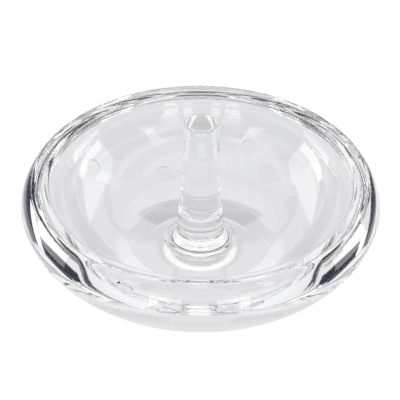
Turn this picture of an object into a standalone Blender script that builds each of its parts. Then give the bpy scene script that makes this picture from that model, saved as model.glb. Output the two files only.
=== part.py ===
"""Clear glass ring holder: a thick round bowl with a flared post bonded to the middle of its floor.

Metres, +Z up. The origin is the middle of the underside, on the surface that the bowl stands on.
"""

import math

import bmesh
import bpy
from mathutils import Matrix, Vector

# The outside of the bowl.
GIRTH_RADIUS = 0.055
GIRTH_HEIGHT = 0.0214
RIM_INSET = 0.0044
RIM_RADIUS = GIRTH_RADIUS - RIM_INSET
RIM_HEIGHT = 0.0296
BASE_RADIUS = 0.0255

# The inside of the bowl. The lip is the inner half of the broad rim, and the wall starts at its edge.
LIP_WIDTH = 0.0042
LIP_DROP = 0.0009
WALL_ANGLE = math.radians(82)
FLOOR_THICKNESS = 0.0062
FLOOR_RADIUS = 0.0208

# How full the outside's curves are: 2 is a plain ellipse, less is flatter and more is squarer.
BELLY_FULLNESS_SHARE = 1.74
SHOULDER_FULLNESS_SHARE = 1.48

# How closely the inside's curves keep to the corner between their two ends: more is closer.
LIP_CORNER_SHARE = 1.1
WALL_CORNER_SHARE = 0.613

# The post, measured up from the floor that it stands on. A slim shaft rises from a low shoulder,
# and below the shoulder a skirt widens into a round fillet and a thin foot.
POST_HEIGHT = 0.0445
POST_TOP_RADIUS = 0.0053
POST_TOP_ROUND = 0.0011
SHAFT_RADIUS = 0.0060
SHOULDER_RADIUS = 0.0065
SHOULDER_HEIGHT = 0.0158
SHOULDER_ROUND = 0.0005
SKIRT_RADIUS = 0.0074
SKIRT_HEIGHT = 0.0055
FOOT_RADIUS = 0.0112
FOOT_EDGE = 0.0008
BOND_GAP = 0.0003

# The tolerance within which points of a turned form are one.
MERGE_DISTANCE = 0.000001

# The round dots, ground into the inside of the wall. Each dot has a turn in degrees, counted
# clockwise from the far side, and a share of the way from the lip's edge down to the floor.
DOT_RADIUS = 0.00265
DOT_DEPTH = 0.00025
DOT_CLEARANCE = 0.0012
DOT_TURNS_AND_WALL_SHARES = (
    (-56.0, 0.373),
    (-21.1, 0.649),
    (22.4, 0.424),
    (62.8, 0.651),
    (115.0, 0.373),
    (155.0, 0.649),
    (209.0, 0.373),
    (248.0, 0.649),
)

# How finely the turned forms are divided.
BOWL_STEPS = 72
POST_STEPS = 40
DOT_STEPS = 20
BELLY_POINTS = 9
SHOULDER_POINTS = 7
LIP_POINTS = 8
WALL_POINTS = 14
FILLET_POINTS = 8
ROUND_POINTS = 4
SMOOTH_ANGLE = math.radians(30)


def clear_scene():
    """Removes every object that is in the scene."""
    for obj in list(bpy.data.objects):
        bpy.data.objects.remove(obj, do_unlink=True)


def glass(name, color, roughness):
    """Clear glass as a Principled material."""
    material = bpy.data.materials.new(name)
    material.use_nodes = True
    shader = material.node_tree.nodes["Principled BSDF"]
    shader.inputs["Base Color"].default_value = (*color, 1.0)
    shader.inputs["Metallic"].default_value = 0.0
    shader.inputs["Roughness"].default_value = roughness
    shader.inputs["IOR"].default_value = 1.52
    shader.inputs["Transmission Weight"].default_value = 1.0
    return material


def quarter(start, end, fullness, points, upright):
    """Points of a superellipse quarter after start, up to end. An upright one leaves start along Z."""
    made = []
    for index in range(1, points + 1):
        angle = math.pi / 2 * index / points
        fall = math.cos(angle) ** (2 / fullness)
        rise = math.sin(angle) ** (2 / fullness)
        across, along = (1 - fall, rise) if upright else (rise, 1 - fall)
        made.append((start[0] + (end[0] - start[0]) * across, start[1] + (end[1] - start[1]) * along))
    made[-1] = end
    return made


def conic_point(start, corner, end, pull, share):
    """A point of the curve from start to end that heads for the corner, closer to it at a greater pull."""
    weights = ((1 - share) ** 2, 2 * pull * share * (1 - share), share**2)
    total = sum(weights)
    return tuple(
        (weights[0] * first + weights[1] * second + weights[2] * third) / total
        for first, second, third in zip(start, corner, end)
    )


def lip_edge():
    """Where the lip ends and the wall starts."""
    return RIM_RADIUS - LIP_WIDTH, RIM_HEIGHT - LIP_DROP


def wall_point(share):
    """A point of the inner wall's curve: share 0 is the lip's edge and share 1 is the floor."""
    edge, floor = lip_edge(), (FLOOR_RADIUS, FLOOR_THICKNESS)
    corner = (edge[0] - (edge[1] - floor[1]) / math.tan(WALL_ANGLE), floor[1])
    return conic_point(edge, corner, floor, WALL_CORNER_SHARE, share)


def bowl_profile():
    """Half section of the bowl, from the middle of the underside round to the middle of the floor."""
    girth = (GIRTH_RADIUS, GIRTH_HEIGHT)
    rim = (RIM_RADIUS, RIM_HEIGHT)
    edge = lip_edge()
    corner = (edge[0] + LIP_DROP / math.tan(WALL_ANGLE), RIM_HEIGHT)
    profile = [(0.0, 0.0), (BASE_RADIUS, 0.0)]
    profile += quarter(profile[-1], girth, BELLY_FULLNESS_SHARE, BELLY_POINTS, False)
    profile += quarter(girth, rim, SHOULDER_FULLNESS_SHARE, SHOULDER_POINTS, True)
    for index in range(1, LIP_POINTS + 1):
        profile.append(conic_point(rim, corner, edge, LIP_CORNER_SHARE, index / LIP_POINTS))
    profile += [wall_point(index / WALL_POINTS) for index in range(1, WALL_POINTS + 1)]
    return profile + [(0.0, FLOOR_THICKNESS)]


def post_profile():
    """Half section of the post, from the middle of its foot up to the middle of its top."""
    foot = (FOOT_RADIUS, FOOT_EDGE)
    skirt = (SKIRT_RADIUS, SKIRT_HEIGHT)
    ledge = (SHOULDER_RADIUS, SHOULDER_HEIGHT - SHOULDER_ROUND)
    shaft = (SHAFT_RADIUS, SHOULDER_HEIGHT)
    cap = (POST_TOP_RADIUS, POST_HEIGHT - POST_TOP_ROUND)
    top = (POST_TOP_RADIUS - POST_TOP_ROUND, POST_HEIGHT)
    profile = [(0.0, 0.0), (FOOT_RADIUS - FOOT_EDGE, 0.0)]
    profile += quarter(profile[-1], foot, 2, ROUND_POINTS, False)
    profile += quarter(foot, skirt, 2, FILLET_POINTS, False)
    profile.append(ledge)
    profile += quarter(ledge, shaft, 2, ROUND_POINTS, True)
    profile.append(cap)
    profile += quarter(cap, top, 2, ROUND_POINTS, True)
    return profile + [(0.0, POST_HEIGHT)]


def dot_profile():
    """Half section of the tool that grinds a dot: a shallow dome below, and a straight side above."""
    sphere = (DOT_RADIUS**2 + DOT_DEPTH**2) / (2 * DOT_DEPTH)
    half_angle = math.asin(DOT_RADIUS / sphere)
    profile = []
    for index in range(ROUND_POINTS + 1):
        angle = half_angle * index / ROUND_POINTS
        profile.append((sphere * math.sin(angle), sphere - DOT_DEPTH - sphere * math.cos(angle)))
    return profile + [(DOT_RADIUS, DOT_CLEARANCE), (0.0, DOT_CLEARANCE)]


def turned(name, profile, steps, material):
    """An object turned round Z from a half section whose two ends lie on the axis."""
    form = bmesh.new()
    points = [form.verts.new((radius, 0.0, height)) for radius, height in profile]
    edges = [form.edges.new(pair) for pair in zip(points, points[1:])]
    middle = Vector((0.0, 0.0, 0.0))
    axis = Vector((0.0, 0.0, 1.0))
    turn = {"cent": middle, "axis": axis, "angle": math.tau, "steps": steps, "use_merge": True}
    bmesh.ops.spin(form, geom=points + edges, **turn)
    bmesh.ops.remove_doubles(form, verts=form.verts, dist=MERGE_DISTANCE)
    bmesh.ops.recalc_face_normals(form, faces=form.faces)
    mesh = bpy.data.meshes.new(name)
    form.to_mesh(mesh)
    form.free()
    mesh.shade_smooth()
    mesh.set_sharp_from_angle(angle=SMOOTH_ANGLE)
    mesh.materials.append(material)
    obj = bpy.data.objects.new(name, mesh)
    bpy.context.scene.collection.objects.link(obj)
    return obj


def dot_matrix(turn, share):
    """Places the grinding tool on the inner wall, with its axis along the wall's normal."""
    step = 1 / WALL_POINTS
    radius, height = wall_point(share)
    above, below = wall_point(share - step), wall_point(share + step)
    slope = math.atan2(above[1] - below[1], above[0] - below[0])
    tilt = Matrix.Rotation(-slope, 4, "Y")
    place = Matrix.Translation((radius, 0.0, height))
    return Matrix.Rotation(math.radians(90 - turn), 4, "Z") @ place @ tilt


def grind_dots(bowl, material):
    """Cuts every dot into the bowl's inner wall with one hidden set of tools."""
    tool = turned("dot_tool", dot_profile(), DOT_STEPS, material)
    tools = bmesh.new()
    for turn, share in DOT_TURNS_AND_WALL_SHARES:
        before = len(tools.verts)
        tools.from_mesh(tool.data)
        tools.verts.ensure_lookup_table()
        bmesh.ops.transform(tools, matrix=dot_matrix(turn, share), verts=tools.verts[before:])
    tools.to_mesh(tool.data)
    tools.free()
    tool.parent = bowl
    tool.hide_render = True
    tool.display_type = "WIRE"
    cut = bowl.modifiers.new("dots", "BOOLEAN")
    cut.operation = "DIFFERENCE"
    cut.object = tool


def main():
    clear_scene()
    clear = glass("clear_glass", (0.97, 0.975, 0.98), 0.02)
    ground = glass("ground_glass", (0.93, 0.935, 0.945), 0.3)
    bowl = turned("bowl", bowl_profile(), BOWL_STEPS, clear)
    post = turned("ring_post", post_profile(), POST_STEPS, clear)
    post.parent = bowl
    post.location.z = FLOOR_THICKNESS + BOND_GAP
    grind_dots(bowl, ground)


main()
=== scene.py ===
"""Clear glass ring holder: a thick round bowl with ground dots, and a ring post on a flared foot.

The sizes are in metres, +Z up, and the origin is the middle of the underside.
"""

import math

import bmesh
import bpy
from bpy.props import FloatProperty, FloatVectorProperty, PointerProperty
from bpy.types import Operator, Panel, PropertyGroup
from mathutils import Matrix, Vector


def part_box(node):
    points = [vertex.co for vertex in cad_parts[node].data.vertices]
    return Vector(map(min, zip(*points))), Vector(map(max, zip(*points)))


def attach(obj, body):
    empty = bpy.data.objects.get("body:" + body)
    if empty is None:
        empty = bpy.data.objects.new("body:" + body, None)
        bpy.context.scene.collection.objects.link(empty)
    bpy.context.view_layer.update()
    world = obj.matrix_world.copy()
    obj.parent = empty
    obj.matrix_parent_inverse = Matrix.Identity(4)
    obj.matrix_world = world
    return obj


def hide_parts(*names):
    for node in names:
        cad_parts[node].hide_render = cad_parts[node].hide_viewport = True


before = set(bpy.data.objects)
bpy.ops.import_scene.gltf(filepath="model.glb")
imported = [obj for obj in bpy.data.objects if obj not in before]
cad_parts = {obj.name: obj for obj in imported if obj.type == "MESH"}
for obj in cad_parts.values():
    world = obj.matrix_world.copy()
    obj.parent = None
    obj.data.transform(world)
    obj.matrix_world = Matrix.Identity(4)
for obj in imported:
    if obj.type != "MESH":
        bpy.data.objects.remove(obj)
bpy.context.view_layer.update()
BOWL_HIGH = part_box("bowl")[1]
POST_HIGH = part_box("ring_post")[1]

bl_info = {
    "name": "Glass Ring Holder",
    "version": (1, 0, 0),
    "blender": (4, 5, 0),
    "location": "3D View > Sidebar > Ring Holder",
    "description": "Builds a clear glass ring holder and the studio round it",
    "category": "Object",
}

# The thickness of the bowl's floor, which the post stands on.
FLOOR_THICKNESS = 0.0062

# How finely the turned forms are divided.
BOWL_STEPS = 288
POST_STEPS = 128
DOT_STEPS = 64
SMOOTH_ANGLE = math.radians(32)
MERGE_DISTANCE = 1e-7

# How many points each stretch of the bowl's half section has.
UNDERSIDE_POINTS = 4
BELLY_POINTS = 72
SHOULDER_POINTS = 64
LIP_POINTS = 40
WALL_POINTS = 90
FLOOR_POINTS = 6

# How many points each stretch of the post's half section has.
FOOT_POINTS = 12
FILLET_POINTS = 48
SKIRT_POINTS = 10
LEDGE_POINTS = 10
SHAFT_POINTS = 20
TOP_ROUND_POINTS = 14
TOP_POINTS = 3

# The fullness of a plain ellipse.
ELLIPSE = 2.0

# The dots: a turn in degrees, clockwise from the far side, and a share of the way down the wall.
DOT_PLACES = (
    (-56.0, 0.373),
    (-21.1, 0.649),
    (22.4, 0.424),
    (62.8, 0.651),
    (115.0, 0.373),
    (155.0, 0.649),
    (209.0, 0.373),
    (248.0, 0.649),
)
DOT_FLOOR_POINTS = 4
DOT_EDGE_POINTS = 8
DOT_SLOPE_SHARE = 0.01
DOT_CLEARANCE_SHARE = 0.5

# The rings that the mould leaves in the glass: how close they lie, how much they wander, and their slant.
RINGS_PER_METRE = 260.0
RINGS_ROUND_SHARE = 1.6
RINGS_HEIGHT_SHARE = 0.7
NOISE_DETAIL = 2.0

# The grain of the ground dots.
GRIT_PER_METRE = 1800.0
GRIT_STRENGTH = 0.25
GRIT_HEIGHT = 0.00002
GRIT_ROUGHNESS = 0.1

# Keeps a root away from zero, where it has no slope.
TINY = 1e-9

# The soft boxes, the farthest first: name, turn, rise, width, height and brightness. A flag is black.
SOFT_BOXES = (
    ("box_side_top_left", -96.0, 62.9, 120.4, 43.4, 0.94),
    ("box_side_top_right", 96.0, 62.9, 120.4, 43.4, 0.94),
    ("box_side_low_left", -80.9, 2.5, 31.2, 27.3, 3.00),
    ("box_side_low_right", 80.9, 2.5, 31.2, 27.3, 3.00),
    ("box_side_mid_left", -137.6, 40.9, 9.1, 33.7, 2.13),
    ("box_side_mid_right", 137.6, 40.9, 9.1, 33.7, 2.13),
    ("box_front_low_left", -160.9, -6.8, 18.1, 36.5, 3.00),
    ("box_front_low_right", 160.9, -6.8, 18.1, 36.5, 3.00),
    ("flag_side_top_left", -129.2, 53.5, 107.9, 13.1, 0.00),
    ("flag_side_top_right", 129.2, 53.5, 107.9, 13.1, 0.00),
    ("box_side_mid_2_left", -75.4, 33.9, 10.6, 13.9, 1.60),
    ("box_side_mid_2_right", 75.4, 33.9, 10.6, 13.9, 1.60),
    ("box_front_mid_left", -170.2, 20.7, 40.7, 18.3, 1.02),
    ("box_front_mid_right", 170.2, 20.7, 40.7, 18.3, 1.02),
    ("box_side_top_2_left", -90.0, 79.0, 180.0, 22.0, 1.00),
    ("box_side_top_2_right", 90.0, 79.0, 180.0, 22.0, 1.00),
    ("box_back_mid", -6.1, 27.5, 150.0, 16.9, 0.90),
    ("box_front_mid_2", 154.7, 30.6, 29.8, 8.8, 1.10),
    ("box_front_top", 179.1, 55.8, 12.2, 16.5, 1.30),
    ("box_side_top_3", -122.1, 58.2, 35.6, 50.3, 0.97),
    ("box_back_top", 0.0, 61.9, 72.0, 46.2, 0.99),
)
BOX_DISTANCE = 0.9
BOX_GAP_SHARE = 0.002
BOX_FACET_DEGREES = 3
LIGHT_TARGET = Vector((0.0, 0.0, 0.02))

# The studio's floor, a little below the glass.
STUDIO_RADIUS = 0.12
STUDIO_SEGMENTS = 96
STUDIO_DROP = 0.0001
STUDIO_BLUE_SHARE = 1.01

# Soft edges of the painted light and painted shadow on the floor: where each starts and ends, as shares of
# the radius of the post's foot.
UNDER_POST_SHARES = (0.72, 0.86)
FOOT_LIGHT_INNER_SHARES = (0.78, 0.9)
FOOT_LIGHT_OUTER_SHARES = (0.98, 1.06)
NEAR_LIGHT_INNER_SHARES = (1.1, 1.25)
NEAR_LIGHT_NOTCH_SHARES = (0.65, 0.85)

# The same as shares of the radius of the bowl's flat underside.
BASE_SHADE_INNER_SHARES = (0.67, 0.71)
BASE_SHADE_OUTER_SHARES = (1.04, 1.08)
BASE_LINE_INNER_SHARES = (0.65, 0.665)
BASE_LINE_OUTER_SHARES = (0.67, 0.685)
NEAR_LIGHT_OUTER_SHARES = (1.0, 1.12)

# The same round the floor: 1 is the far side, 0 the sides and -1 the near side.
FOOT_LIGHT_TURN_SHARES = (-0.1, 0.4)
NEAR_LIGHT_TURN_SHARES = (0.0, 0.4)
BASE_SHADE_TURN_SHARES = (0.6, 0.68)
BASE_LINE_TURN_SHARES = (0.3, 0.6)
BASE_LINE_LIGHT_SHARE = 0.6

# The painted patches of light behind the bowl's sides, kite shaped, with places as shares of the girth
# radius.
SIDE_LIGHT_MIDDLE_SHARE = 0.7
SIDE_LIGHT_NEAR_SHARE = 0.11
SIDE_LIGHT_FAR_SHARE = 1.16
SIDE_LIGHT_WIDTH_SHARES = (0.11, 0.13)
SIDE_LIGHT_NEAR_SLOPE = 0.2
SIDE_LIGHT_FAR_SLOPE = 0.6
SIDE_LIGHT_NEAR_BLUR = 0.0012
SIDE_LIGHT_FAR_BLUR = 0.0015

# The camera. Its lens and sensor are in millimetres.
CAMERA_DISTANCE = 0.77
CAMERA_RISE = math.radians(37.0)
CAMERA_ROLL = math.radians(0.6)
CAMERA_AIM = Vector((0.0, 0.0, 0.02167))
CAMERA_LENS = 225.666
CAMERA_SENSOR = 36.0
CAMERA_SHIFT = (-0.0015, 0.0015)
CAMERA_CLIP = 0.01

# How often light may pass or bounce inside the glass.
LIGHT_BOUNCES = 64


def length(name, description, default):
    """A length that a user can change."""
    settings = {"default": default, "min": 0.0, "unit": "LENGTH", "precision": 5}
    return FloatProperty(name=name, description=description, **settings)


def number(name, description, default, **limits):
    """A plain number that a user can change."""
    return FloatProperty(name=name, description=description, default=default, **limits)


def fullness(name, description, default):
    """How full a curve is: 2 is a plain ellipse."""
    return number(name, description, default, min=1.0, max=4.0)


def closeness(name, description, default):
    """How closely a curve keeps to the corner that it heads for."""
    return number(name, description, default, min=0.0, max=4.0)


def colour(name, description, default):
    """A colour that a user can change."""
    return FloatVectorProperty(name=name, description=description, subtype="COLOR", default=default)


def angle(name, description, default):
    """An angle that a user can change."""
    return FloatProperty(name=name, description=description, default=default, subtype="ANGLE")


class RingHolderBowl(PropertyGroup):
    """Sizes of the bowl."""

    girth_radius: length("Girth radius", "Radius where the bowl is widest", BOWL_HIGH[0])
    girth_height: length("Girth height", "Height where the bowl is widest", 0.0214)
    rim_inset: length("Rim inset", "How far the top of the rim lies inside the girth", 0.0044)
    rim_height: length("Rim height", "Height of the rim", BOWL_HIGH[2])
    base_radius: length("Base radius", "Radius of the flat underside", 0.0255)
    lip_width: length("Lip width", "Width of the rounded inner side of the rim", 0.0042)
    lip_drop: length("Lip drop", "Depth of the rounded inner side of the rim", 0.0009)
    floor_thickness: length("Floor thickness", "Thickness of the glass under the floor", FLOOR_THICKNESS)
    floor_radius: length("Floor radius", "Radius of the flat floor", 0.0208)
    wall_angle: angle("Wall angle", "Steepness of the wall at the lip", math.radians(82))
    belly: fullness("Belly", "Fullness of the curve from base to girth", 1.74)
    shoulder: fullness("Shoulder", "Fullness of the curve from girth to rim", 1.48)
    lip: closeness("Lip", "How closely the rim's inner side keeps to its corner", 1.1)
    wall: closeness("Wall", "How closely the wall keeps to its corner", 0.613)
    dot_radius: length("Dot radius", "Radius of a ground dot", 0.00265)
    dot_depth: length("Dot depth", "Depth of a ground dot", 0.0002)
    dot_edge: length("Dot edge", "Width of the rounded edge of a ground dot", 0.0003)


class RingHolderPost(PropertyGroup):
    """Sizes of the post, measured up from the floor that it stands on."""

    height: length("Height", "Height above the floor", POST_HIGH[2] - FLOOR_THICKNESS)
    top_radius: length("Top radius", "Radius at the top", 0.0053)
    top_round: length("Top round", "Rounding of the top edge", 0.0010)
    shaft_radius: length("Shaft radius", "Radius of the shaft above its shoulder", 0.0060)
    shoulder_radius: length("Shoulder radius", "Radius of the shoulder", 0.0067)
    shoulder_height: length("Shoulder height", "Height of the shoulder", 0.0158)
    shoulder_round: length("Shoulder round", "Rounding of the shoulder", 0.0007)
    skirt_radius: length("Skirt radius", "Radius where the skirt meets the foot's fillet", 0.0074)
    skirt_height: length("Skirt height", "Height where the skirt meets the foot's fillet", 0.0060)
    foot_radius: length("Foot radius", "Radius of the foot", POST_HIGH[0])
    foot_edge: length("Foot edge", "Rounding of the foot's edge", 0.0011)
    fillet: fullness("Fillet", "Fullness of the curve from the foot to the skirt", ELLIPSE)


class RingHolderLook(PropertyGroup):
    """Colours, finishes, and the painted light and painted shadow on the floor."""

    glass_colour: colour("Glass colour", "Tint of the clear glass", (0.969, 0.970, 0.980))
    glass_roughness: number("Glass roughness", "Roughness of the clear glass", 0.03)
    refraction: number("Refraction", "Index of refraction of the glass", 1.525)
    ripple: length("Ripple", "Height of the faint ripples left by the mould", 0.0000015)
    dot_roughness: number("Dot roughness", "Roughness of the ground dots", 0.22)
    # Painted shade: a ground dot's tint is darkened so that the dot reads as a faint darker disc.
    dot_shade: number("Dot shade", "How much light a ground dot lets through", 0.93)
    floor_brightness: number("Floor brightness", "Brightness seen through the glass", 0.8)
    # Painted light and painted shadow on the floor, seen through the glass.
    foot_light: number("Foot light", "Light gathered on the floor round the foot", 0.26)
    # Painted shadow: how much darker the floor is painted under the post and behind the base.
    base_shade: number("Base shade", "Shade under the post and behind the base", 0.16)
    near_light: number("Near light", "Light on the floor before the foot", 0.1)
    side_light: number("Side light", "Light on the floor behind the bowl's sides", 0.11)
    room_colour: colour("Room colour", "Colour of the unlit room", (0.012, 0.012, 0.032))


class Wire:
    """A socket of a shader tree that can stand in a sum."""

    def __init__(self, tree, socket):
        self.tree = tree
        self.socket = socket

    def joined(self, operation, first, second):
        return self.tree.add("ShaderNodeMath", {"operation": operation}, {0: first, 1: second}).wire(0)

    def __add__(self, other):
        return self.joined("ADD", self, other)

    def __radd__(self, other):
        return self.joined("ADD", other, self)

    def __sub__(self, other):
        return self.joined("SUBTRACT", self, other)

    def __rsub__(self, other):
        return self.joined("SUBTRACT", other, self)

    def __mul__(self, other):
        return self.joined("MULTIPLY", self, other)

    def __rmul__(self, other):
        return self.joined("MULTIPLY", other, self)

    def __truediv__(self, other):
        return self.joined("DIVIDE", self, other)

    def __rtruediv__(self, other):
        return self.joined("DIVIDE", other, self)

    def __pow__(self, other):
        return self.joined("POWER", self, other)

    def __rpow__(self, other):
        return self.joined("POWER", other, self)


class Added:
    """A node that was added to a shader tree."""

    def __init__(self, tree, node):
        self.tree = tree
        self.node = node

    def wire(self, name):
        return Wire(self.tree, self.node.outputs[name])


class ShaderTree:
    """Builds a shader tree from expressions."""

    def __init__(self, owner):
        owner.use_nodes = True
        self.nodes = owner.node_tree.nodes
        self.links = owner.node_tree.links
        self.nodes.clear()

    def add(self, kind, settings=None, sockets=None):
        node = self.nodes.new(kind)
        for name, value in (settings or {}).items():
            setattr(node, name, value)
        for name, value in (sockets or {}).items():
            if isinstance(value, Wire):
                self.links.new(value.socket, node.inputs[name])
            else:
                node.inputs[name].default_value = value
        return Added(self, node)


def own_place(tree):
    """The X, Y and Z of a point on the object itself."""
    place = tree.add("ShaderNodeTexCoord").wire("Object")
    parts = tree.add("ShaderNodeSeparateXYZ", None, {0: place})
    return parts.wire("X"), parts.wire("Y"), parts.wire("Z")


def mould_rings(tree):
    """Noise that is drawn out round the axis, so that it runs in rings as on turned or pressed glass."""
    x, y, z = own_place(tree)
    radius = (x * x + y * y + TINY) ** 0.5
    along = {
        0: x / radius * RINGS_ROUND_SHARE,
        1: y / radius * RINGS_ROUND_SHARE,
        2: (radius + z * RINGS_HEIGHT_SHARE) * RINGS_PER_METRE,
    }
    place = tree.add("ShaderNodeCombineXYZ", None, along).wire(0)
    sockets = {"Vector": place, "Scale": 1.0, "Detail": NOISE_DETAIL}
    return tree.add("ShaderNodeTexNoise", None, sockets).wire("Fac")


def clear_glass(look):
    """Polished glass with faint rings from its mould."""
    material = bpy.data.materials.new("polished_glass")
    tree = ShaderTree(material)
    waves = {"Strength": 1.0, "Distance": look.ripple, "Height": mould_rings(tree)}
    ripple = tree.add("ShaderNodeBump", None, waves).wire(0)
    shader = tree.add(
        "ShaderNodeBsdfPrincipled",
        None,
        {
            "Base Color": (*look.glass_colour, 1.0),
            "IOR": look.refraction,
            "Transmission Weight": 1.0,
            "Roughness": look.glass_roughness,
            "Normal": ripple,
        },
    ).wire(0)
    tree.add("ShaderNodeOutputMaterial", None, {0: shader})
    return material


def ground_glass(look):
    """The satin finish of a ground dot, with a darkened tint as painted shade."""
    material = bpy.data.materials.new("satin_glass")
    tree = ShaderTree(material)
    place = tree.add("ShaderNodeTexCoord").wire("Object")
    sockets = {"Vector": place, "Scale": GRIT_PER_METRE, "Detail": NOISE_DETAIL}
    grit = tree.add("ShaderNodeTexNoise", None, sockets).wire("Fac")
    grains = {"Strength": GRIT_STRENGTH, "Distance": GRIT_HEIGHT, "Height": grit}
    grain = tree.add("ShaderNodeBump", None, grains).wire(0)
    shader = tree.add(
        "ShaderNodeBsdfPrincipled",
        None,
        {
            # Painted shade: the dot's tint is the clear glass's, darkened by the dot shade.
            "Base Color": (*(part * look.dot_shade for part in look.glass_colour), 1.0),
            "IOR": look.refraction,
            "Transmission Weight": 1.0,
            "Roughness": grit * GRIT_ROUGHNESS + (look.dot_roughness - GRIT_ROUGHNESS / 2),
            "Normal": grain,
        },
    ).wire(0)
    tree.add("ShaderNodeOutputMaterial", None, {0: shader})
    return material


def bonded_face():
    """The seat where foot and floor are bonded: light passes it as if both were one piece of glass."""
    material = bpy.data.materials.new("glass_seat")
    tree = ShaderTree(material)
    shader = tree.add("ShaderNodeBsdfPrincipled", None, {"Alpha": 0.0, "Roughness": 0.5}).wire(0)
    tree.add("ShaderNodeOutputMaterial", None, {0: shader})
    return material


def shared_material(name, make):
    """The material of that name, made once."""
    return bpy.data.materials.get(name) or make()


def quarter(start, end, full, points, upright):
    """Points of a superellipse quarter after start, up to end. An upright one leaves start along Z."""
    made = []
    for index in range(1, points + 1):
        turn = math.pi / 2 * index / points
        fall = math.cos(turn) ** (2 / full)
        rise = math.sin(turn) ** (2 / full)
        across, along = (1 - fall, rise) if upright else (rise, 1 - fall)
        made.append((start[0] + (end[0] - start[0]) * across, start[1] + (end[1] - start[1]) * along))
    made[-1] = end
    return made


def straight(start, end, points):
    """Evenly spaced points after start, up to end."""
    return [
        (start[0] + (end[0] - start[0]) * index / points, start[1] + (end[1] - start[1]) * index / points)
        for index in range(1, points + 1)
    ]


def conic_point(start, corner, end, weight, part):
    """A point of the curve from start to end that heads for the corner, closer to it at more weight."""
    shares = (1 - part) ** 2, 2 * weight * part * (1 - part), part**2
    total = sum(shares)
    return tuple(
        (shares[0] * first + shares[1] * second + shares[2] * third) / total
        for first, second, third in zip(start, corner, end)
    )


def conic(start, corner, end, weight, points):
    """Points of that curve after start, up to end."""
    return [conic_point(start, corner, end, weight, index / points) for index in range(1, points + 1)]


def lip_edge(sizes):
    """The point where the rim's inner side meets the wall."""
    return sizes.girth_radius - sizes.rim_inset - sizes.lip_width, sizes.rim_height - sizes.lip_drop


def wall_point(sizes, part):
    """A point of the inner wall's curve: 0 is the lip's edge and 1 is the floor."""
    edge, floor = lip_edge(sizes), (sizes.floor_radius, sizes.floor_thickness)
    corner = (edge[0] - (edge[1] - floor[1]) / math.tan(sizes.wall_angle), floor[1])
    return conic_point(edge, corner, floor, sizes.wall, part)


def bowl_profile(sizes, seat_radius):
    """Half section of the bowl, from the middle of the underside round to the edge of the seat."""
    girth = (sizes.girth_radius, sizes.girth_height)
    rim = (sizes.girth_radius - sizes.rim_inset, sizes.rim_height)
    edge = lip_edge(sizes)
    corner = (edge[0] + sizes.lip_drop / math.tan(sizes.wall_angle), sizes.rim_height)
    profile = [(0.0, 0.0)]
    profile += straight(profile[-1], (sizes.base_radius, 0.0), UNDERSIDE_POINTS)
    profile += quarter(profile[-1], girth, sizes.belly, BELLY_POINTS, False)
    profile += quarter(girth, rim, sizes.shoulder, SHOULDER_POINTS, True)
    profile += conic(rim, corner, edge, sizes.lip, LIP_POINTS)
    profile += [wall_point(sizes, index / WALL_POINTS) for index in range(1, WALL_POINTS + 1)]
    return profile + straight(profile[-1], (seat_radius, sizes.floor_thickness), FLOOR_POINTS)


def post_profile(sizes, floor):
    """Half section of the post, from the edge of its seat up to the middle of its top."""
    seat = (sizes.foot_radius - sizes.foot_edge, floor)
    foot = (sizes.foot_radius, floor + sizes.foot_edge)
    skirt = (sizes.skirt_radius, floor + sizes.skirt_height)
    ledge = (sizes.shoulder_radius, floor + sizes.shoulder_height - sizes.shoulder_round)
    shaft = (sizes.shaft_radius, floor + sizes.shoulder_height)
    cap = (sizes.top_radius, floor + sizes.height - sizes.top_round)
    top = (sizes.top_radius - sizes.top_round, floor + sizes.height)
    profile = [seat]
    profile += quarter(seat, foot, ELLIPSE, FOOT_POINTS, False)
    profile += quarter(foot, skirt, sizes.fillet, FILLET_POINTS, False)
    profile += straight(skirt, ledge, SKIRT_POINTS)
    profile += quarter(ledge, shaft, ELLIPSE, LEDGE_POINTS, True)
    profile += straight(shaft, cap, SHAFT_POINTS)
    profile += quarter(cap, top, ELLIPSE, TOP_ROUND_POINTS, True)
    return profile + straight(top, (0.0, top[1]), TOP_POINTS)


def turned_mesh(name, profile, steps):
    """A mesh turned round Z from a half section. A seat that the section leaves open gets its own face."""
    form = bmesh.new()
    points = [form.verts.new((radius, 0.0, height)) for radius, height in profile]
    edges = [form.edges.new(pair) for pair in zip(points, points[1:])]
    middle, axis = Vector((0.0, 0.0, 0.0)), Vector((0.0, 0.0, 1.0))
    turn = {"cent": middle, "axis": axis, "angle": math.tau, "steps": steps, "use_merge": True}
    bmesh.ops.spin(form, geom=points + edges, **turn)
    bmesh.ops.remove_doubles(form, verts=form.verts, dist=MERGE_DISTANCE)
    rim = [edge for edge in form.edges if edge.is_boundary]
    if rim:
        seat = bmesh.ops.contextual_create(form, geom=rim)["faces"]
        for face in seat:
            face.material_index = 1
    bmesh.ops.recalc_face_normals(form, faces=form.faces)
    mesh = bpy.data.meshes.new(name)
    form.to_mesh(mesh)
    form.free()
    mesh.shade_smooth()
    mesh.set_sharp_from_angle(angle=SMOOTH_ANGLE)
    return mesh


def linked(name, mesh):
    """A new object in the scene."""
    obj = bpy.data.objects.new(name, mesh)
    bpy.context.scene.collection.objects.link(obj)
    return obj


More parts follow.
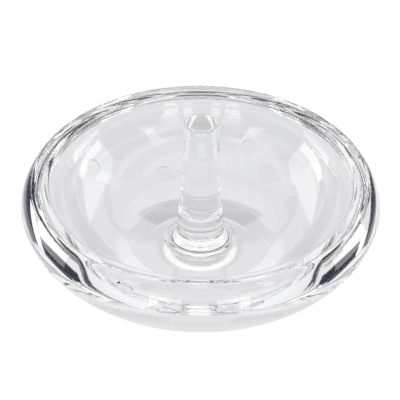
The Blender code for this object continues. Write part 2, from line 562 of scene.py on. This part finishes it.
def dot_cutter(sizes):
    """The tool that grinds the dots: a flat recess with a rounded edge at each place on the wall."""
    edge = sizes.dot_radius - sizes.dot_edge
    clearance = sizes.dot_radius * DOT_CLEARANCE_SHARE
    profile = [(0.0, -sizes.dot_depth)]
    profile += straight(profile[-1], (edge, -sizes.dot_depth), DOT_FLOOR_POINTS)
    profile += quarter(profile[-1], (sizes.dot_radius, 0.0), ELLIPSE, DOT_EDGE_POINTS, False)
    profile += [(sizes.dot_radius, clearance), (0.0, clearance)]
    single = turned_mesh("dot_cutter", profile, DOT_STEPS)
    tools = bmesh.new()
    for turn, part in DOT_PLACES:
        radius, height = wall_point(sizes, part)
        above, below = wall_point(sizes, part - DOT_SLOPE_SHARE), wall_point(sizes, part + DOT_SLOPE_SHARE)
        slope = math.atan2(above[1] - below[1], above[0] - below[0])
        place = Matrix.Translation((radius, 0.0, height)) @ Matrix.Rotation(-slope, 4, "Y")
        before = len(tools.verts)
        tools.from_mesh(single)
        tools.verts.ensure_lookup_table()
        matrix = Matrix.Rotation(math.radians(90 - turn), 4, "Z") @ place
        bmesh.ops.transform(tools, matrix=matrix, verts=tools.verts[before:])
    tools.to_mesh(single)
    tools.free()
    return single


def crisp_edges(mesh):
    """Keeps the shading crisp wherever one finish meets another, as round each dot."""
    form = bmesh.new()
    form.from_mesh(mesh)
    for edge in form.edges:
        if len({face.material_index for face in edge.link_faces}) > 1:
            edge.smooth = False
    form.to_mesh(mesh)
    form.free()


def finished(obj, node, materials):
    """Gives a piece its finishes and puts it in the place of its CAD node."""
    for material in materials:
        obj.data.materials.append(material)
    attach(obj, "root")
    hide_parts(node)


class RINGHOLDER_OT_bowl(Operator):
    """Makes the thick glass bowl with its ground dots"""

    bl_idname = "ring_holder.bowl"
    bl_label = "Glass Bowl"

    def execute(self, context):
        scene = context.scene
        sizes, post, look = scene.ring_holder_bowl, scene.ring_holder_post, scene.ring_holder_look
        seat_radius = post.foot_radius - post.foot_edge
        mesh = turned_mesh("bowl_glass", bowl_profile(sizes, seat_radius), BOWL_STEPS)
        bowl = linked("bowl_glass", mesh)
        glass = shared_material("polished_glass", lambda: clear_glass(look))
        bond = shared_material("glass_seat", bonded_face)
        satin = shared_material("satin_glass", lambda: ground_glass(look))
        finished(bowl, "bowl", (glass, bond, satin))
        cutter = linked("dot_cutter", dot_cutter(sizes))
        cutter.data.materials.append(satin)
        cut = bowl.modifiers.new("dots", "BOOLEAN")
        cut.operation = "DIFFERENCE"
        cut.material_mode = "TRANSFER"
        cut.object = cutter
        context.view_layer.update()
        graph = context.evaluated_depsgraph_get()
        carved = bpy.data.meshes.new_from_object(bowl.evaluated_get(graph), depsgraph=graph)
        bowl.modifiers.clear()
        bowl.data = carved
        crisp_edges(carved)
        bpy.data.objects.remove(cutter, do_unlink=True)
        return {"FINISHED"}


class RINGHOLDER_OT_post(Operator):
    """Makes the glass ring post on its flared foot"""

    bl_idname = "ring_holder.post"
    bl_label = "Ring Post"

    def execute(self, context):
        scene = context.scene
        bowl, sizes, look = scene.ring_holder_bowl, scene.ring_holder_post, scene.ring_holder_look
        mesh = turned_mesh("ring_post_glass", post_profile(sizes, bowl.floor_thickness), POST_STEPS)
        post = linked("ring_post_glass", mesh)
        glass = shared_material("polished_glass", lambda: clear_glass(look))
        bond = shared_material("glass_seat", bonded_face)
        finished(post, "ring_post", (glass, bond))
        return {"FINISHED"}


def soft_box(order, name, turn, rise, width, height, brightness):
    """A curved panel that glows evenly towards the glass and isn't seen by the camera.

    The turn, clockwise from the far side, the rise, the width and the height are in degrees.
    """
    across, along = max(2, round(width / BOX_FACET_DEGREES)), max(2, round(height / BOX_FACET_DEGREES))
    distance = BOX_DISTANCE * (1 - BOX_GAP_SHARE * order)
    form = bmesh.new()
    rows = []
    for row in range(along + 1):
        up = math.radians(rise + height * (row / along - 0.5))
        points = []
        for column in range(across + 1):
            around = math.radians(turn + width * (column / across - 0.5))
            way = Vector((math.cos(up) * math.sin(around), math.cos(up) * math.cos(around), math.sin(up)))
            points.append(form.verts.new(LIGHT_TARGET + way * distance))
        rows.append(points)
    for low, high in zip(rows, rows[1:]):
        for column in range(across):
            form.faces.new((low[column], high[column], high[column + 1], low[column + 1]))
    mesh = bpy.data.meshes.new(name)
    form.to_mesh(mesh)
    form.free()
    material = bpy.data.materials.new(name)
    tree = ShaderTree(material)
    sockets = {"Color": (1.0, 1.0, 1.0, 1.0), "Strength": brightness}
    glow = tree.add("ShaderNodeEmission", None, sockets).wire(0)
    tree.add("ShaderNodeOutputMaterial", None, {0: glow})
    mesh.materials.append(material)
    panel = linked(name, mesh)
    panel.visible_camera = False


def white_to_camera(tree, parts):
    """White to the camera itself, and those parts of red, green and blue where the glass sees it."""
    seen = tree.add("ShaderNodeLightPath").wire("Is Camera Ray")
    mixed = {index: seen * (1.0 - part) + part for index, part in enumerate(parts)}
    return tree.add("ShaderNodeCombineColor", None, mixed).wire(0)


def risen(tree, value, size, shares=(0.0, 1.0)):
    """0 up to the first share of the size, 1 from the second on, and a smooth rise between them."""
    limits = {"Value": value, "From Min": size * shares[0], "From Max": size * shares[1]}
    return tree.add("ShaderNodeMapRange", {"interpolation_type": "SMOOTHSTEP"}, limits).wire(0)


def fallen(tree, value, size, shares):
    """The opposite: 1 up to the first share of the size and 0 from the second on."""
    return 1.0 - risen(tree, value, size, shares)


def unsigned(value):
    """The size of a value without its sign."""
    return (value * value) ** 0.5


def painted_foot_light(tree, radius, far, foot, base):
    """Painted light: the bright ring at the near side of the foot, and a thin line of light behind it."""
    lit = risen(tree, radius, foot, FOOT_LIGHT_INNER_SHARES)
    lit = lit * fallen(tree, radius, foot, FOOT_LIGHT_OUTER_SHARES)
    line = risen(tree, radius, base, BASE_LINE_INNER_SHARES)
    line = line * fallen(tree, radius, base, BASE_LINE_OUTER_SHARES)
    line = line * risen(tree, far, 1.0, BASE_LINE_TURN_SHARES) * BASE_LINE_LIGHT_SHARE
    return lit * fallen(tree, far, 1.0, FOOT_LIGHT_TURN_SHARES) + line


def painted_near_light(tree, radius, far, across, foot, base):
    """Painted light: the broad ring of light before the foot, with a notch straight in front of it."""
    near = risen(tree, radius, foot, NEAR_LIGHT_INNER_SHARES)
    near = near * fallen(tree, radius, base, NEAR_LIGHT_OUTER_SHARES)
    near = near * fallen(tree, far, 1.0, NEAR_LIGHT_TURN_SHARES)
    return near * risen(tree, across, foot, NEAR_LIGHT_NOTCH_SHARES)


def painted_side_light(tree, y, across, girth):
    """The painted patch of light behind each side of the bowl, which tapers to both its ends."""
    off = unsigned(across - girth * SIDE_LIGHT_MIDDLE_SHARE)
    from_near = (y - girth * SIDE_LIGHT_NEAR_SHARE) * SIDE_LIGHT_NEAR_SLOPE - off
    from_far = (girth * SIDE_LIGHT_FAR_SHARE - y) * SIDE_LIGHT_FAR_SLOPE - off
    side = risen(tree, from_near, SIDE_LIGHT_NEAR_BLUR) * risen(tree, from_far, SIDE_LIGHT_FAR_BLUR)
    return side * fallen(tree, off, girth, SIDE_LIGHT_WIDTH_SHARES)


def painted_post_shadow(tree, radius, far, foot, base):
    """The painted shadow straight under the post, and the fan of painted shadow behind it."""
    under = fallen(tree, radius, foot, UNDER_POST_SHARES)
    fan = risen(tree, radius, base, BASE_SHADE_INNER_SHARES)
    fan = fan * fallen(tree, radius, base, BASE_SHADE_OUTER_SHARES)
    return fan * risen(tree, far, 1.0, BASE_SHADE_TURN_SHARES) + under


def floor_with_painted_light(tree, sizes, post, look):
    """Brightness of the floor as the glass sees it: an even brightness with painted light and painted
    shadow where the glass would gather light and throw shade.
    """
    x, y, _ = own_place(tree)
    radius = (x * x + y * y + TINY) ** 0.5
    foot, base, girth = post.foot_radius, sizes.base_radius, sizes.girth_radius
    across = unsigned(x)
    far = y / radius
    added = painted_foot_light(tree, radius, far, foot, base) * look.foot_light
    added = added + painted_near_light(tree, radius, far, across, foot, base) * look.near_light
    added = added + painted_side_light(tree, y, across, girth) * look.side_light
    return added - painted_post_shadow(tree, radius, far, foot, base) * look.base_shade + look.floor_brightness


class RINGHOLDER_OT_studio(Operator):
    """Makes the pale floor, the soft lights and the camera"""

    bl_idname = "ring_holder.studio"
    bl_label = "Studio"

    def execute(self, context):
        look = context.scene.ring_holder_look
        self.make_floor(context, look)
        for order, box in enumerate(SOFT_BOXES):
            soft_box(order, *box)
        world = bpy.data.worlds.new("studio_room")
        context.scene.world = world
        tree = ShaderTree(world)
        seen = white_to_camera(tree, look.room_colour)
        shade = tree.add("ShaderNodeBackground", None, {"Color": seen, "Strength": 1.0}).wire(0)
        tree.add("ShaderNodeOutputWorld", None, {0: shade})
        self.make_camera(context.scene)
        context.scene.view_settings.view_transform = "Standard"
        context.scene.cycles.max_bounces = LIGHT_BOUNCES
        context.scene.cycles.transmission_bounces = LIGHT_BOUNCES
        context.scene.cycles.glossy_bounces = LIGHT_BOUNCES
        context.scene.cycles.blur_glossy = 0.0
        return {"FINISHED"}

    def make_floor(self, context, look):
        form = bmesh.new()
        bmesh.ops.create_circle(form, cap_ends=True, segments=STUDIO_SEGMENTS, radius=STUDIO_RADIUS)
        mesh = bpy.data.meshes.new("studio_floor")
        form.to_mesh(mesh)
        form.free()
        floor = linked("studio_floor", mesh)
        floor.location.z = -STUDIO_DROP
        material = bpy.data.materials.new("studio_floor")
        tree = ShaderTree(material)
        # The floor's emission carries the painted light and painted shadow under the glass.
        glow = floor_with_painted_light(tree, context.scene.ring_holder_bowl, context.scene.ring_holder_post, look)
        seen = white_to_camera(tree, (glow, glow, glow * STUDIO_BLUE_SHARE))
        shade = tree.add("ShaderNodeEmission", None, {"Color": seen, "Strength": 1.0}).wire(0)
        tree.add("ShaderNodeOutputMaterial", None, {0: shade})
        mesh.materials.append(material)

    def make_camera(self, scene):
        data = bpy.data.cameras.new("camera")
        data.sensor_width = CAMERA_SENSOR
        data.lens = CAMERA_LENS
        data.shift_x, data.shift_y = CAMERA_SHIFT
        data.clip_start = CAMERA_CLIP
        camera = bpy.data.objects.new("camera", data)
        way = Vector((0.0, -math.cos(CAMERA_RISE), math.sin(CAMERA_RISE)))
        camera.location = CAMERA_AIM + way * CAMERA_DISTANCE
        tilt = Matrix.Rotation(math.pi / 2 - CAMERA_RISE, 3, "X")
        camera.rotation_euler = (tilt @ Matrix.Rotation(CAMERA_ROLL, 3, "Z")).to_euler()
        scene.collection.objects.link(camera)
        scene.camera = camera


class RINGHOLDER_PT_panel(Panel):
    """Lists the pieces of the ring holder"""

    bl_idname = "RINGHOLDER_PT_panel"
    bl_label = "Ring Holder"
    bl_space_type = "VIEW_3D"
    bl_region_type = "UI"
    bl_category = "Ring Holder"

    def draw(self, context):
        layout = self.layout
        for operator in OPERATORS:
            layout.operator(operator.bl_idname)
        for group in ("ring_holder_bowl", "ring_holder_post", "ring_holder_look"):
            settings = getattr(context.scene, group)
            column = layout.column()
            for name in settings.__annotations__:
                column.prop(settings, name)


OPERATORS = (RINGHOLDER_OT_bowl, RINGHOLDER_OT_post, RINGHOLDER_OT_studio)
CLASSES = (RingHolderBowl, RingHolderPost, RingHolderLook, *OPERATORS, RINGHOLDER_PT_panel)


def register():
    for cls in CLASSES:
        bpy.utils.register_class(cls)
    bpy.types.Scene.ring_holder_bowl = PointerProperty(type=RingHolderBowl)
    bpy.types.Scene.ring_holder_post = PointerProperty(type=RingHolderPost)
    bpy.types.Scene.ring_holder_look = PointerProperty(type=RingHolderLook)


def unregister():
    del bpy.types.Scene.ring_holder_look
    del bpy.types.Scene.ring_holder_post
    del bpy.types.Scene.ring_holder_bowl
    for cls in reversed(CLASSES):
        bpy.utils.unregister_class(cls)


def main():
    register()
    bpy.ops.ring_holder.bowl()
    bpy.ops.ring_holder.post()
    bpy.ops.ring_holder.studio()


if __name__ == "__main__":
    main()
